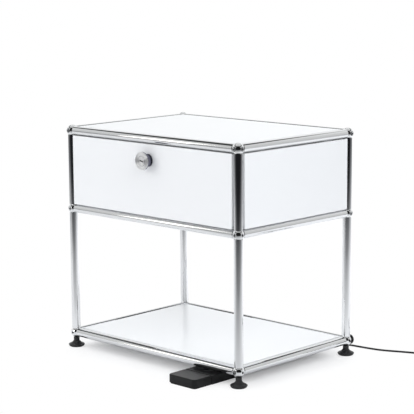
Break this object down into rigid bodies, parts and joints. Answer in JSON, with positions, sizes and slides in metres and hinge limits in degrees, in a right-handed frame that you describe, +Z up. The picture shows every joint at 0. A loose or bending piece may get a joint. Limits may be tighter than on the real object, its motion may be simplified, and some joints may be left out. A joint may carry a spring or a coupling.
{
  "type": "nightstand",
  "caption": "Bedside cabinet of chromed tubes and ball connectors with white steel panels: a lockable drop-down flap over an open bay with a shelf, a lamp strip and a floor dimmer on a lead.",
  "frame": {"origin": "bottom centre of the box around the cabinet and its floor dimmer, on the floor; the free lead is left out", "axes": "+X to the right as seen from the front (the flap's side), +Y to the back, +Z up"},
  "size_m": [0.8025, 0.5991, 0.5045],
  "materials": {
    "chrome_tube": "mirror-polished chrome plate",
    "chrome_ball": "mirror-polished chrome plate",
    "lock_chrome": "chrome plate with fine turned rings",
    "plain_steel": "zinc-plated steel",
    "white_sheet": "pure white powder coat, satin gloss",
    "black_foot": "satin black moulded plastic",
    "black_case": "satin black plastic",
    "pedal_grey": "satin dark grey plastic",
    "black_lead": "smooth black sheath",
    "lamp_lens": "milky translucent plastic",
    "led_strip": "white printed strip with diodes",
    "circuit_board": "green solder resist",
    "plug_metal": "nickel-plated brass"
  },
  "bodies": {
    "frame": {"back_panel": "white_sheet", "balls_bottom": "chrome_ball", "balls_middle": "chrome_ball", "balls_top": "chrome_ball", "coil_tie": "black_lead", "compartment_floor": "white_sheet", "connector_screws": "plain_steel", "cord_coil": "black_lead", "cord_run": "black_lead", "cord_tail": "black_lead", "dimmer_base": "black_case", "dimmer_cover": "black_case", "driver_board": "circuit_board", "feed_plug": "black_foot", "lamp_lens": "lamp_lens", "led_strip": "led_strip", "left_panel": "white_sheet", "mains_plug": "black_case", "panel_clips": "plain_steel", "pedal_springs": "plain_steel", "plug_pins": "plug_metal", "post_lower_front_left": "chrome_tube", "post_lower_front_right": "chrome_tube", "post_lower_rear_left": "chrome_tube", "post_lower_rear_right": "chrome_tube", "post_upper_front_left": "chrome_tube", "post_upper_front_right": "chrome_tube", "post_upper_rear_left": "chrome_tube", "post_upper_rear_right": "chrome_tube", "right_panel": "white_sheet", "shelf": "white_sheet", "strain_relief": "black_lead", "top_panel": "white_sheet", "tube_bottom_front": "chrome_tube", "tube_bottom_left": "chrome_tube", "tube_bottom_rear": "chrome_tube", "tube_bottom_right": "chrome_tube", "tube_inserts": "plain_steel", "tube_middle_front": "chrome_tube", "tube_middle_left": "chrome_tube", "tube_middle_rear": "chrome_tube", "tube_middle_right": "chrome_tube", "tube_top_front": "chrome_tube", "tube_top_left": "chrome_tube", "tube_top_rear": "chrome_tube", "tube_top_right": "chrome_tube"},
    "flap": {"flap_outer": "white_sheet", "flap_inner": "white_sheet", "hinge_blocks": "plain_steel", "hinge_pins": "plain_steel", "knob": "lock_chrome", "lock_case": "lock_chrome", "lock_nut": "plain_steel"},
    "lock": {"lock_plug": "lock_chrome", "lock_cam": "plain_steel"},
    "pedal": {"dimmer_pedal": "pedal_grey"},
    "foot_fl": {"foot_front_left": "black_foot"},
    "foot_fr": {"foot_front_right": "black_foot"},
    "foot_rl": {"foot_rear_left": "black_foot"},
    "foot_rr": {"foot_rear_right": "black_foot"}
  },
  "joints": [
    {"name": "flap_hinge", "type": "hinge", "parent": "frame", "child": "flap", "pos_m": [0, -0.1489, 0.333], "axis": [1, 0, 0], "range_deg": [0, 90]},
    {"name": "lock_turn", "type": "hinge", "parent": "flap", "child": "lock", "pos_m": [0, -0.153, 0.4485], "axis": [0, -1, 0], "range_deg": [0, 90]},
    {"name": "pedal_press", "type": "slide", "parent": "frame", "child": "pedal", "axis": [0, 0, -1], "range_m": [0, 0.002], "stiffness_N_per_m": 2000, "springref_m": -0.001, "deforming": ["pedal_springs"]},
    {"name": "foot_front_left_level", "type": "slide", "parent": "frame", "child": "foot_fl", "axis": [0, 0, -1], "range_m": [0, 0.008]},
    {"name": "foot_front_right_level", "type": "slide", "parent": "frame", "child": "foot_fr", "axis": [0, 0, -1], "range_m": [0, 0.008]},
    {"name": "foot_rear_left_level", "type": "slide", "parent": "frame", "child": "foot_rl", "axis": [0, 0, -1], "range_m": [0, 0.008]},
    {"name": "foot_rear_right_level", "type": "slide", "parent": "frame", "child": "foot_rr", "axis": [0, 0, -1], "range_m": [0, 0.008]}
  ]
}
